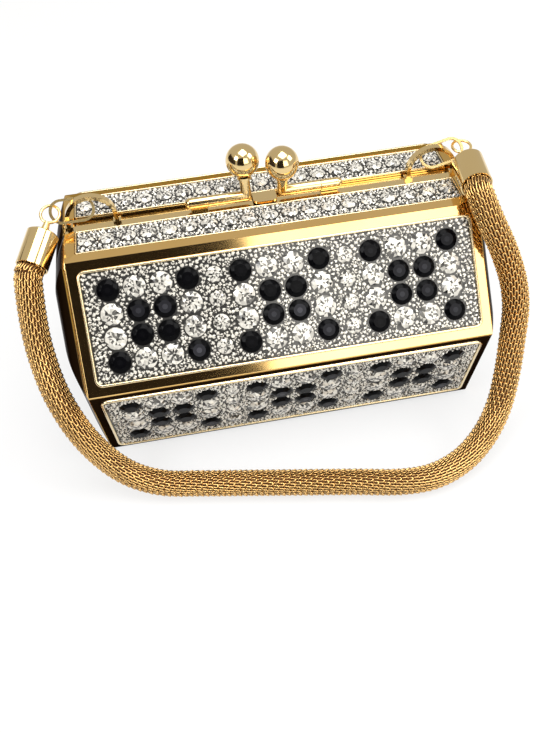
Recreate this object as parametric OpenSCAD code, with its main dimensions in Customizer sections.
// Minaudiere: a hard evening purse of two hinged brass halves, set with stones, with a knitted metal handle.
// X is the length, Y the depth with the front at -Y, Z is up. The origin is the middle of the base.

/* [Body] */
// Length between the two flat end edges
body_len = 158; // [152:1:176]
// Depth across the top face
top_depth = 45; // [43:1:50]
// Depth across the widest edges
ridge_depth = 110; // [102:1:116]
// Height of the widest edges
ridge_height = 49.5; // [46:0.5:54]
// Depth across the base
base_depth = 78; // [72:1:86]
// Height of the top face
body_height = 90; // [88:0.5:96]
// Wall thickness of the shells
wall = 1.4; // [1.2:0.1:1.8]
// Width of the sloping border round the top
border = 3.8; // [3.4:0.1:4.6]
// Fall of the sloping border
border_drop = 0.8; // [0.6:0.1:1]
// Radius of the rounded long edges
edge_r = 0.8; // [0.4:0.1:1.2]
// Bulge of the domed ends
end_bulge = 10.5; // [7:0.5:11]
// Thickness of the domed end plates
end_wall = 1.2; // [1:0.1:1.6]
// Thickness of the inner lining
lining = 1; // [0.8:0.1:1.2]

/* [Top groove] */
// Half width of the groove between the two stone strips
groove_half = 4.4; // [4.4:0.1:4.8]
// Depth of the groove below the top face
groove_depth = 2; // [1.8:0.1:2.2]
// Thickness of the groove floor
groove_wall = 1.4; // [1.2:0.1:1.6]
// Thickness of the upright lips beside the groove
lip = 1.4; // [1.2:0.1:1.8]
// Depth of the rear lip below the top face
lip_depth = 6; // [5:0.5:8]

/* [Stones] */
// Diameter of the large stones
stone_d = 8.4; // [7.5:0.1:8.6]
// Diameter of the small stones
small_d = 6.4; // [5.5:0.1:7]
// Column pitch on the sloping panels
stone_pitch = 10; // [9.6:0.1:10.2]
// Row pitch on the sloping panels
row_pitch = 9.1; // [8.8:0.1:9.4]
// Pitch of the stones on the top strips
strip_pitch = 7.85; // [7.4:0.05:7.9]
// Height of a stone from its seat to its girdle
girdle_h = 0.6; // [0.6:0.1:1]
// Height of a stone's crown above its girdle
crown_h = 1; // [0.8:0.1:1.2]

/* [Trays] */
// Margin between a panel tray and the end of the body
tray_end_margin = 3.5; // [3:0.1:4.5]
// Margin between a panel tray and the long edges of its slope
tray_side_margin = 3.6; // [3:0.1:4]
// Distance of a lower panel tray from the middle of its slope, towards the widest edge
lower_tray_rise = 1.45; // [0:0.05:1.6]
// Height of a panel tray
tray_h = 1.7; // [1.3:0.1:1.8]
// Width of a panel tray's rim
tray_rim = 2; // [1.6:0.1:2.3]
// Corner radius of a panel tray
tray_corner = 3; // [2.5:0.1:4]
// Thickness of a tray's floor
tray_floor = 0.5; // [0.5:0.05:0.7]
// Height of a top strip tray
strip_h = 1.2; // [1.1:0.05:1.4]
// Width of a top strip tray's rim
strip_rim = 1; // [0.8:0.1:1.4]

/* [Hinge] */
// Length of the hinge
hinge_len = 148; // [120:1:150]
// Radius of the hinge knuckles
knuckle_r = 2; // [1.8:0.1:2.1]
// Radius of the hinge pin
pin_r = 0.8; // [0.7:0.05:0.9]
// Number of knuckles
knuckles = 9; // [7:2:11]
// Width of each hinge leaf from the pin
leaf_w = 10; // [8:0.5:12]
// Thickness of the hinge leaves
leaf_t = 1; // [0.8:0.1:1.2]

/* [Clasp] */
// Diameter of the clasp balls
ball_d = 13; // [12:0.1:13.4]
// Distance of each ball from the middle
ball_x = 7.25; // [7.1:0.05:8]
// Height of the ball centres above the arm axis
ball_rise = 14.4; // [13:0.1:16]
// Radius of the arm legs and stems
leg_r = 2.1; // [1.9:0.05:2.2]
// Radius of the journal inside the barrel
journal_r = 1.2; // [1:0.05:1.3]
// Length of a barrel
barrel_len = 8.7; // [7:0.1:10]
// Length of an arm's leg, from the stem to the barrel
leg_len = 15.3; // [12:0.1:18]
// Lean of each arm at rest
arm_lean = 11; // [8:0.5:12]
// Depth position of the arm axis
arm_y = 1; // [0.8:0.1:1.2]
// Height of the arm axis above the groove floor
arm_z = 3.4; // [3:0.1:3.8]

/* [Handle fittings] */
// Distance of the handle arches from the middle
arch_x = 68; // [66:0.5:68]
// Outer radius of an arch
arch_r = 10.2; // [9.6:0.1:10.4]
// Radial thickness of an arch
arch_t = 1.6; // [1.4:0.1:1.8]
// Depth of an arch's band
arch_w = 2.6; // [2:0.1:3]
// Height of the straight feet of an arch
arch_leg = 3; // [2.5:0.1:4]
// Depth position of the arches
arch_y = 1.8; // [1.6:0.1:1.9]
// Length of a link along its outside
link_len = 17.5; // [17:0.1:19]
// Outer width of a link
link_w = 9.6; // [9.4:0.1:10.2]
// Radial thickness of a link's strip
link_t = 1; // [0.8:0.05:1.1]
// Breadth of a link's strip
link_b = 1.3; // [1.2:0.1:1.6]
// Radius of an eye ring at the middle of its wire
eye_r = 3.65; // [3.5:0.05:4]
// Radius of the eye ring's wire
eye_wire = 0.55; // [0.4:0.05:0.55]
// Radius of an end cap
cap_r = 6.1; // [5.9:0.05:6.2]
// Length of an end cap
cap_len = 14.5; // [12:0.5:16]
// Radius of the knitted handle
handle_r = 5.5; // [5:0.05:5.5]

/* [Clearances] */
// Gap between the two halves of the body
part_gap = 0.3; // [0.2:0.05:0.4]
// Gap between bodies that move past each other
move_gap = 0.3; // [0.2:0.05:0.35]
// Radial clearance of a pin or journal in its bore
run_gap = 0.06; // [0.03:0.01:0.1]
// Gap round a part that is laid into a recess
seat_gap = 0.1; // [0.05:0.05:0.15]

/* [Hidden] */
$fn = 48;

gold = "goldenrod";
pale_gold = "khaki";
silver = "lightgray";

// Corners of the front half's section, as [y, z]
half_len = body_len / 2;
border_z = body_height - border_drop;
top_corner = [-top_depth / 2, border_z];
ridge_corner = [-ridge_depth / 2, ridge_height];
base_corner = [-base_depth / 2, 0];
strip_edge = top_depth / 2 - border;
strip_half_len = half_len - border;
over = wall;
groove_z = body_height - groove_depth;
recess_z = body_height - strip_h;

function unit(v) = v / norm(v);
function half_angle(a, p, b) = acos(unit(a - p) * unit(b - p)) / 2;
function bisector(a, p, b) = unit(unit(a - p) + unit(b - p));

// The corner p between a and b, moved inwards by d from both sides
function inset_corner(a, p, b, d) = p + bisector(a, p, b) * d / sin(half_angle(a, p, b));

// The corner p between a and b, rounded with radius r
corner_steps = 4;
function round_corner(a, p, b, r) =
  let (c = inset_corner(a, p, b, r), t = r / tan(half_angle(a, p, b)))
  let (start = p + unit(a - p) * t - c, end = p + unit(b - p) * t - c)
  [for (k = [0 : corner_steps]) c + r * unit(start * (1 - k / corner_steps) + end * k / corner_steps)];

// Outer section of the front half, as a closed polygon ending on the middle plane
function mid(z) = [-part_gap / 2, z];
function outer_section() = concat(
  [mid(body_height), [-strip_edge, body_height], top_corner],
  round_corner(top_corner, ridge_corner, base_corner, edge_r),
  round_corner(ridge_corner, base_corner, mid(0), edge_r),
  [mid(0)]);

// The same section moved inwards by d, under the border instead of under the strips
function inner_corners(d) = [
  inset_corner(mid(border_z), top_corner, ridge_corner, d),
  inset_corner(top_corner, ridge_corner, base_corner, d),
  inset_corner(ridge_corner, base_corner, mid(0), d)];
function inner_section(d, edge) = concat(
  [[edge, border_z - d]], inner_corners(d), [[edge, d]]);

// Children are drawn in the YZ plane and run along X for a length len about the middle
module along_x(len) {
  rotate([90, 0, 90]) linear_extrude(len, center = true) children();
}

module box(low, high) {
  translate(low) cube(high - low);
}

hinge_z = knuckle_r + move_gap * 0.67;
relief_r = knuckle_r + wall;

// Round channel along the hinge axis that lets the rear half swing past the front
module hinge_relief() {
  translate([0, 0, hinge_z]) rotate([0, 90, 0]) cylinder(r = relief_r, h = 2 * body_len, center = true);
}

// The front half of the body's wall. The top is open from the middle to edge between the strips' ends.
module half_shell(edge) {
  difference() {
    intersection() {
      along_x(body_len) difference() {
        polygon(outer_section());
        polygon(inner_section(wall, over));
      }
      rotate([90, 0, 0]) linear_extrude(2 * ridge_depth, center = true) polygon([
        [-half_len, -over], [-half_len, border_z], [-strip_half_len, body_height],
        [strip_half_len, body_height], [half_len, border_z], [half_len, -over]]);
    }
    hinge_relief();
    box([-strip_half_len, -strip_edge, recess_z], [strip_half_len, over, body_height + over]);
    box([-strip_half_len, -edge, border_z - 2 * wall], [strip_half_len, over, body_height + over]);
    box([-body_len, -groove_half, border_z - 2 * wall], [body_len, over, body_height + over]);
  }
}

module front_shell() {
  color(pale_gold) half_shell(groove_half + lip);
}

// The rear shell carries the turned-down lip that closes against the groove floor
module rear_shell() {
  color(pale_gold) mirror([0, 1, 0]) union() {
    half_shell(groove_half);
    box([-half_len, -groove_half - lip, body_height - lip_depth], [half_len, -groove_half, recess_z]);
  }
}

// Domed end plate: each ring of the section's outline shrinks to its centre as it rises
dome_power = 2.4;
dome_centre_share = 0.52;
dome_rings = 6;
edge_steps = 5;
function dome_x(rho, rise) = rise * (1 - pow(rho, dome_power));
function end_outline(d) =
  let (c = concat([mid(border_z - d)], inner_corners(d), [mid(d)]))
  [for (i = [0 : len(c) - 2], k = [0 : edge_steps - 1]) c[i] + (c[i + 1] - c[i]) * k / edge_steps, mid(d)];
function dome_points(outline, rise) =
  let (c = mid(body_height * dome_centre_share))
  concat([[half_len + rise, c[0], c[1]]],
    [for (r = [1 : dome_rings], p = outline)
      let (rho = r / dome_rings, q = c + (p - c) * rho) [half_len + dome_x(rho, rise), q[0], q[1]]]);

module half_dome() {
  out = dome_points(end_outline(0), end_bulge);
  inn = dome_points(end_outline(end_wall), end_bulge - end_wall);
  n = len(end_outline(0));
  m = len(out);
  rim = (dome_rings - 1) * n;
  polyhedron(points = concat(out, inn), faces = concat(
    [for (k = [0 : n - 2]) [0, 2 + k, 1 + k]],
    [for (r = [0 : dome_rings - 2], k = [0 : n - 2]) let (a = 1 + r * n + k)
      each [[a, a + 1, a + n], [a + 1, a + n + 1, a + n]]],
    [for (k = [0 : n - 2]) [m, m + 1 + k, m + 2 + k]],
    [for (r = [0 : dome_rings - 2], k = [0 : n - 2]) let (a = m + 1 + r * n + k)
      each [[a, a + n, a + 1], [a + 1, a + n, a + n + 1]]],
    [for (k = [1 : n - 1]) let (a = rim + k) each [[a, a + 1, m + a], [a + 1, m + a + 1, m + a]]],
    [[0, 1, m + 1, m], [n, 0, m, m + n]],
    [for (r = [0 : dome_rings - 2]) let (a = 1 + r * n) [a, a + n, m + a + n, m + a]],
    [for (r = [0 : dome_rings - 2]) let (a = n + r * n) [a + n, a, m + a, m + a + n]]));
}

module front_end() {
  color(gold) difference() {
    half_dome();
    hinge_relief();
    box([0, -groove_half, groove_z], [body_len, over, body_height + over]);
  }
}

module front_right_end() { front_end(); }
module front_left_end() { mirror([1, 0, 0]) front_end(); }
module rear_right_end() { mirror([0, 1, 0]) front_end(); }
module rear_left_end() { mirror([1, 0, 0]) mirror([0, 1, 0]) front_end(); }

// Groove floor of the front half, which reaches under the clasp, and its upright lip
module front_frame() {
  floor_low = groove_z - groove_wall;
  color(gold) union() {
    box([-half_len, -groove_half, floor_low], [half_len, groove_half - move_gap, groove_z]);
    box([-strip_half_len, -groove_half - lip, floor_low], [strip_half_len, -groove_half, recess_z]);
  }
}

// Smooth tray that lines a half, clear of the frame above and of the hinge leaf below
module half_lining() {
  out = wall + seat_gap;
  top_y = groove_half + lip + seat_gap;
  color("dimgray") difference() {
    along_x(body_len - 2 * seat_gap) polygon(inner_section(out, -part_gap / 2));
    along_x(body_len - 2 * seat_gap - 2 * lining) polygon(inner_section(out + lining, over));
    box([-body_len, -leaf_w - seat_gap, 0], [body_len, over, hinge_z + relief_r]);
    box([-body_len, -top_y, body_height - lip_depth - seat_gap], [body_len, over, body_height]);
  }
}

module front_lining() { half_lining(); }
module rear_lining() { mirror([0, 1, 0]) half_lining(); }

// Rectangle with round corners, centred
module round_plate(len, width, r) {
  square([len - 2 * r, width], center = true);
  square([len, width - 2 * r], center = true);
  for (x = [-1, 1], y = [-1, 1]) translate([x * (len / 2 - r), y * (width / 2 - r)]) circle(r);
}

module tray(len, width, h, rim, r) {
  color(silver) difference() {
    linear_extrude(h) round_plate(len, width, r);
    translate([0, 0, tray_floor]) linear_extrude(h)
      round_plate(len - 2 * rim, width - 2 * rim, max(r - rim, r / 4));
  }
}

// Children are placed on a slope: origin at its middle, y up the slope and z outwards
module on_slope(low, high) {
  m = (low + high) / 2;
  translate([0, m[0], m[1]]) rotate([atan2(high[1] - low[1], high[0] - low[0]), 0, 0]) children();
}

module on_upper() { on_slope(ridge_corner, top_corner) children(); }
module on_lower() { on_slope(base_corner, ridge_corner) children(); }

tray_len = body_len - 2 * tray_end_margin;
upper_tray_w = norm(top_corner - ridge_corner) - 2 * tray_side_margin;
lower_tray_w = norm(ridge_corner - base_corner) - 2 * tray_side_margin;

module upper_tray() { on_upper() tray(tray_len, upper_tray_w, tray_h, tray_rim, tray_corner); }
module on_lower_tray() { on_lower() translate([0, lower_tray_rise, 0]) children(); }
module lower_tray() { on_lower_tray() tray(tray_len, lower_tray_w, tray_h, tray_rim, tray_corner); }

// Strip tray in the recess beside the groove
strip_w = strip_edge - groove_half - seat_gap;
strip_y = -groove_half - strip_w / 2;
module top_tray() {
  translate([0, strip_y, recess_z])
    tray(2 * strip_half_len - 2 * seat_gap, strip_w, strip_h, strip_rim, strip_rim);
}

// A flat-backed stone: straight girdle, bevelled crown and flat table
table_share = 0.58;
module stone(d) {
  cylinder(d = d, h = girdle_h, $fn = 24);
  translate([0, 0, girdle_h]) cylinder(d1 = d, d2 = d * table_share, h = crown_h, $fn = 24);
}

// Number of stones of diameter d at a pitch that fit side by side in a space
function stone_count(space, d, pitch) = floor((space - d) / pitch) + 1;

// The check pattern: three motifs of four columns, parted by single columns of small stones
cols = stone_count(tray_len - 2 * tray_rim, stone_d, stone_pitch);
upper_rows = stone_count(upper_tray_w - 2 * tray_rim, stone_d, row_pitch);
lower_rows = stone_count(lower_tray_w - 2 * tray_rim, stone_d, row_pitch);
motif = 5;
function is_small(c) = c % motif == motif - 1;
function is_black(c, r, rows) =
  let (k = c % motif, edge_col = k == 0 || k == motif - 2, edge_row = r == 0 || r == rows - 1)
  !is_small(c) && edge_col == edge_row;

module stones(kind, rows) {
  d = kind == "small" ? small_d : stone_d;
  shade = kind == "black" ? "black" : "white";
  color(shade) for (c = [0 : cols - 1], r = [0 : rows - 1]) {
    this = is_small(c) ? "small" : is_black(c, r, rows) ? "black" : "clear";
    if (this == kind)
      translate([(c - (cols - 1) / 2) * stone_pitch, (r - (rows - 1) / 2) * row_pitch, tray_floor]) stone(d);
  }
}

strip_stones = stone_count(2 * (strip_half_len - seat_gap - strip_rim), small_d, strip_pitch);
module top_stones() {
  color("white") for (k = [0 : strip_stones - 1])
    translate([(k - (strip_stones - 1) / 2) * strip_pitch, strip_y, recess_z + tray_floor]) stone(small_d);
}

module front_upper_tray() { upper_tray(); }
module front_lower_tray() { lower_tray(); }
module front_top_tray() { top_tray(); }
module front_upper_clear_stones() { on_upper() stones("clear", upper_rows); }
module front_upper_black_stones() { on_upper() stones("black", upper_rows); }
module front_upper_small_stones() { on_upper() stones("small", upper_rows); }
module front_lower_clear_stones() { on_lower_tray() stones("clear", lower_rows); }
module front_lower_black_stones() { on_lower_tray() stones("black", lower_rows); }
module front_lower_small_stones() { on_lower_tray() stones("small", lower_rows); }
module front_top_stones() { top_stones(); }
module rear_upper_tray() { mirror([0, 1, 0]) upper_tray(); }
module rear_lower_tray() { mirror([0, 1, 0]) lower_tray(); }
module rear_top_tray() { mirror([0, 1, 0]) top_tray(); }
module rear_upper_clear_stones() { mirror([0, 1, 0]) on_upper() stones("clear", upper_rows); }
module rear_upper_black_stones() { mirror([0, 1, 0]) on_upper() stones("black", upper_rows); }
module rear_upper_small_stones() { mirror([0, 1, 0]) on_upper() stones("small", upper_rows); }
module rear_lower_clear_stones() { mirror([0, 1, 0]) on_lower_tray() stones("clear", lower_rows); }
module rear_lower_black_stones() { mirror([0, 1, 0]) on_lower_tray() stones("black", lower_rows); }
module rear_lower_small_stones() { mirror([0, 1, 0]) on_lower_tray() stones("small", lower_rows); }
module rear_top_stones() { mirror([0, 1, 0]) top_stones(); }

// Hinge leaf of the front half with every second knuckle, from the knuckle numbered first
knuckle_len = hinge_len / knuckles;
module half_leaf(first) {
  color(gold) difference() {
    union() {
      box([-hinge_len / 2, -leaf_w, wall], [hinge_len / 2, -knuckle_r - move_gap, wall + leaf_t]);
      for (k = [first : 2 : knuckles - 1]) {
        x0 = -hinge_len / 2 + k * knuckle_len + move_gap / 2;
        x1 = x0 + knuckle_len - move_gap;
        box([x0, -knuckle_r - 2 * move_gap, wall], [x1, -pin_r, wall + leaf_t]);
        translate([x0, 0, hinge_z]) rotate([0, 90, 0]) cylinder(r = knuckle_r, h = x1 - x0);
      }
    }
    translate([0, 0, hinge_z]) rotate([0, 90, 0])
      cylinder(r = pin_r + run_gap, h = hinge_len + over, center = true);
  }
}

module front_hinge_leaf() { half_leaf(0); }
module rear_hinge_leaf() { mirror([0, 1, 0]) half_leaf(1); }
module hinge_pin() {
  color(silver) translate([0, 0, hinge_z]) rotate([0, 90, 0]) cylinder(r = pin_r, h = hinge_len, center = true);
}

// Clasp: the left arm turns in a barrel on the front half and the right arm in one on the rear half
axis_z = groove_z + arm_z;
barrel_x = ball_x + leg_len + move_gap;
collar_r = leg_r * 1.35;
collar_h = leg_r * 0.4;
module barrel() {
  translate([-barrel_x, arm_y, axis_z]) rotate([0, -90, 0]) difference() {
    union() {
      cylinder(r = leg_r, h = barrel_len - leg_r);
      translate([0, 0, barrel_len - leg_r]) sphere(leg_r);
    }
    translate([0, 0, -over]) cylinder(r = journal_r + run_gap, h = barrel_len - leg_r + over);
  }
}

module left_clasp_barrel() {
  saddle_w = leg_r * 1.2;
  color(gold) union() {
    barrel();
    difference() {
      box([-barrel_x - barrel_len + leg_r, arm_y - saddle_w / 2, groove_z],
        [-barrel_x, arm_y + saddle_w / 2, axis_z]);
      translate([0, arm_y, axis_z]) rotate([0, 90, 0])
        cylinder(r = (leg_r + journal_r) / 2, h = body_len, center = true);
    }
  }
}

module right_clasp_barrel() {
  color(gold) mirror([1, 0, 0]) union() {
    barrel();
    difference() {
      box([-barrel_x - barrel_len + leg_r, arm_y, groove_z + move_gap], [-barrel_x, groove_half, body_height]);
      translate([0, arm_y, axis_z]) rotate([0, 90, 0])
        cylinder(r = (leg_r + journal_r) / 2, h = body_len, center = true);
    }
  }
}

// Children stand upright over the arm axis and lean by angle
module arm_frame(angle) {
  translate([0, arm_y, axis_z]) rotate([angle, 0, 0]) children();
}

module arm() {
  translate([-ball_x, 0, 0]) {
    rotate([0, -90, 0]) cylinder(r = leg_r, h = leg_len);
    rotate([0, -90, 0]) cylinder(r = journal_r, h = leg_len + barrel_len - leg_r);
    sphere(leg_r);
    cylinder(r = leg_r, h = ball_rise - ball_d / 2 - collar_h);
    translate([0, 0, ball_rise - ball_d / 2 - collar_h]) cylinder(r = collar_r, h = collar_h);
  }
}

module ball() {
  translate([-ball_x, 0, ball_rise]) difference() {
    sphere(d = ball_d, $fn = 64);
    translate([0, 0, -ball_d]) cylinder(r = collar_r + seat_gap, h = ball_d / 2 + seat_gap);
  }
}

module left_clasp_arm() { color(gold) arm_frame(-arm_lean) arm(); }
module left_clasp_ball() { color(gold) arm_frame(-arm_lean) ball(); }
module right_clasp_arm() { color(gold) mirror([1, 0, 0]) arm_frame(arm_lean) arm(); }
module right_clasp_ball() { color(gold) mirror([1, 0, 0]) arm_frame(arm_lean) ball(); }

// Landing plate of the rear half that lies under the two balls
plate_t = groove_depth * 0.45;
plate_half = ball_x - leg_r - move_gap - seat_gap;
plate_front = groove_half * 0.57;
module latch_plate() {
  z = body_height - plate_t - seat_gap;
  color(pale_gold) translate([0, 0, z]) linear_extrude(plate_t) union() {
    translate([-plate_half, -plate_front + plate_half / 2])
      square([2 * plate_half, groove_half + plate_front - plate_half / 2]);
    translate([-plate_half / 2, -plate_front]) square([plate_half, plate_half]);
    for (s = [-1, 1]) translate([s * plate_half / 2, -plate_front + plate_half / 2]) circle(plate_half / 2);
  }
}

// Arch that stands on the groove floor and carries a link
foot_w = arch_t * 1.9;
foot_h = arch_t / 2;
module arch(x) {
  y0 = -arch_w / 2;
  color(gold) translate([x, arch_y, groove_z]) rotate([90, 0, 0]) {
    translate([0, 0, y0]) linear_extrude(arch_w) difference() {
      union() {
        translate([0, arch_leg]) circle(arch_r, $fn = 64);
        translate([-arch_r, 0]) square([2 * arch_r, arch_leg]);
      }
      translate([0, arch_leg]) circle(arch_r - arch_t, $fn = 64);
      translate([arch_t - arch_r, -arch_leg]) square([2 * (arch_r - arch_t), 2 * arch_leg]);
      translate([-arch_r, -2 * arch_r]) square(2 * arch_r);
    }
    for (s = [-1, 1]) translate([s * (arch_r - arch_t / 2) - foot_w / 2, 0, y0 - foot_h / 2])
      cube([foot_w, foot_h, arch_w + foot_h]);
  }
}

module left_arch() { arch(-arch_x); }
module right_arch() { arch(arch_x); }

// Pivots of the handle: the middle of each link's outer end
left_pivot = [-arch_x - 1.47 * arch_r, arch_y, groove_z + 2.5 * arch_leg];
right_pivot = [arch_x + 1.16 * arch_r, arch_y, groove_z + 3.83 * arch_leg];
left_link_slope = 0;
right_link_slope = 14;
left_link_tilt = 56.5;
right_link_tilt = 46;

module link_ring(len, r) {
  for (s = [-1, 1]) translate([s * (len / 2 - r), 0]) circle(r);
  square([len - 2 * r, 2 * r], center = true);
}

// A link whose outer end is at the pivot, on the side given by the sign of side
module link(pivot, side, slope, tilt) {
  middle = link_len / 2 - link_t / 2;
  color(gold) translate(pivot) rotate([0, -side * slope, 0]) rotate([tilt, 0, 0])
    translate([-side * middle, 0, -link_b / 2]) linear_extrude(link_b) difference() {
      link_ring(link_len, link_w / 2);
      link_ring(link_len - 2 * link_t, link_w / 2 - link_t);
    }
}

module left_link() { link(left_pivot, -1, left_link_slope, left_link_tilt); }
module right_link() { link(right_pivot, 1, right_link_slope, right_link_tilt); }

// Directions of the two caps, as [outward splay, drop below level]
left_aim = [-23, 27];
right_aim = [-3, 8];
eye_offset = eye_r * 0.1;
neck_len = 8.35;
function aim(a) = [sin(a[0]), -cos(a[0]) * cos(a[1]), -cos(a[0]) * sin(a[1])];

// Children stand on the pivot with z along the cap
module along_cap(pivot, a) {
  translate(pivot) rotate([90 + a[1], 0, 0]) rotate([0, a[0], 0]) children();
}

// Eye ring that hangs on the link, with its neck down to the cap
module eye(pivot, a) {
  neck_r = eye_wire * 3.2;
  color(gold) along_cap(pivot, a) translate([0, 0, eye_offset]) union() {
    rotate([90, 0, 0]) rotate_extrude() translate([eye_r, 0]) circle(eye_wire, $fn = 24);
    translate([0, 0, eye_r]) cylinder(r1 = eye_wire * 2, r2 = neck_r, h = neck_len - eye_r);
  }
}

// Cup-shaped cap with a bore for the end of the handle
cap_start = eye_offset + neck_len;
cap_depth = cap_len / 2;
module cap(pivot, a) {
  bevel = cap_r * 0.1;
  color(gold) along_cap(pivot, a) translate([0, 0, cap_start]) difference() {
    union() {
      cylinder(r1 = cap_r - bevel, r2 = cap_r, h = bevel);
      translate([0, 0, bevel]) cylinder(r = cap_r, h = cap_len - bevel);
    }
    translate([0, 0, cap_len - cap_depth]) cylinder(r = handle_r + seat_gap, h = cap_len);
  }
}

module left_eye() { eye(left_pivot, left_aim); }
module right_eye() { eye(right_pivot, right_aim); }
module left_end_cap() { cap(left_pivot, left_aim); }
module right_end_cap() { cap(right_pivot, right_aim); }

// Route of the knitted handle, from the left cap down to the surface in front and up to the right cap
function on_cap(pivot, a, s) = pivot + aim(a) * (cap_start + s);
straight_run = handle_r * 0.8;
handle_points = concat(
  [for (s = [cap_len - cap_depth, cap_len, cap_len + straight_run]) on_cap(left_pivot, left_aim, s)],
  [[-95.2, -29, 70], [-95, -36, 58.3], [-92.3, -45.4, 45.5], [-86.6, -54, 32.1], [-79, -59, 19],
   [-70, -63, 10.5], [-58, -67, 6.6], [-43, -70, 6], [-23, -74, 6], [-3, -78, 6], [17, -82, 6], [36, -86, 6],
   [50, -86, 6.2], [63, -81.5, 7.5], [74, -74, 11], [82, -66, 18], [87, -58, 28], [90, -51, 40], [91.5, -46, 52],
   [90.5, -43, 62], [88, -40.5, 71], [84.5, -38, 80], [80.5, -33.5, 89]],
  [for (s = [cap_len + straight_run, cap_len, cap_len - cap_depth]) on_cap(right_pivot, right_aim, s)]);
handle_sides = 12;
handle_steps = 2;
function clamp_point(p, i) = p[max(0, min(len(p) - 1, i))];

// Point at share s between points i and i + 1 of a smooth curve through all points
function curve(p, i, s) =
  let (a = clamp_point(p, i - 1), b = p[i], c = clamp_point(p, i + 1), d = clamp_point(p, i + 2))
  b + s * (c - a) / 2 + s * s * (2 * a - 5 * b + 4 * c - d) / 2 + s * s * s * (3 * b - a - 3 * c + d) / 2;
function curve_points(p, n) =
  concat([for (i = [0 : len(p) - 2], k = [0 : n - 1]) curve(p, i, k / n)], [p[len(p) - 1]]);

module tube(path, r, sides) {
  n = len(path);
  lean = [0, -1, 1];
  rings = [for (i = [0 : n - 1])
    let (t = unit(clamp_point(path, i + 1) - clamp_point(path, i - 1)))
    let (u = unit(cross(t, lean)), v = cross(t, u))
    for (k = [0 : sides - 1]) path[i] + r * (cos(360 * k / sides) * u + sin(360 * k / sides) * v)];
  polyhedron(points = rings, faces = concat(
    [[for (k = [0 : sides - 1]) k]],
    [for (i = [0 : n - 2], k = [0 : sides - 1])
      let (a = i * sides + k, b = i * sides + (k + 1) % sides) each [[a, a + sides, b], [b, a + sides, b + sides]]],
    [[for (k = [sides - 1 : -1 : 0]) (n - 1) * sides + k]]));
}

module mesh_handle() {
  color("darkgoldenrod") tube(curve_points(handle_points, handle_steps), handle_r, handle_sides);
}

front_shell();
front_left_end();
front_right_end();
front_frame();
front_lining();
front_upper_tray();
front_lower_tray();
front_top_tray();
front_upper_clear_stones();
front_upper_black_stones();
front_upper_small_stones();
front_lower_clear_stones();
front_lower_black_stones();
front_lower_small_stones();
front_top_stones();
front_hinge_leaf();
hinge_pin();
left_clasp_barrel();
left_clasp_arm();
left_clasp_ball();
left_arch();
right_arch();
rear_shell();
rear_left_end();
rear_right_end();
rear_lining();
rear_upper_tray();
rear_lower_tray();
rear_top_tray();
rear_upper_clear_stones();
rear_upper_black_stones();
rear_upper_small_stones();
rear_lower_clear_stones();
rear_lower_black_stones();
rear_lower_small_stones();
rear_top_stones();
rear_hinge_leaf();
right_clasp_barrel();
right_clasp_arm();
right_clasp_ball();
latch_plate();
left_link();
right_link();
left_eye();
right_eye();
left_end_cap();
right_end_cap();
mesh_handle();
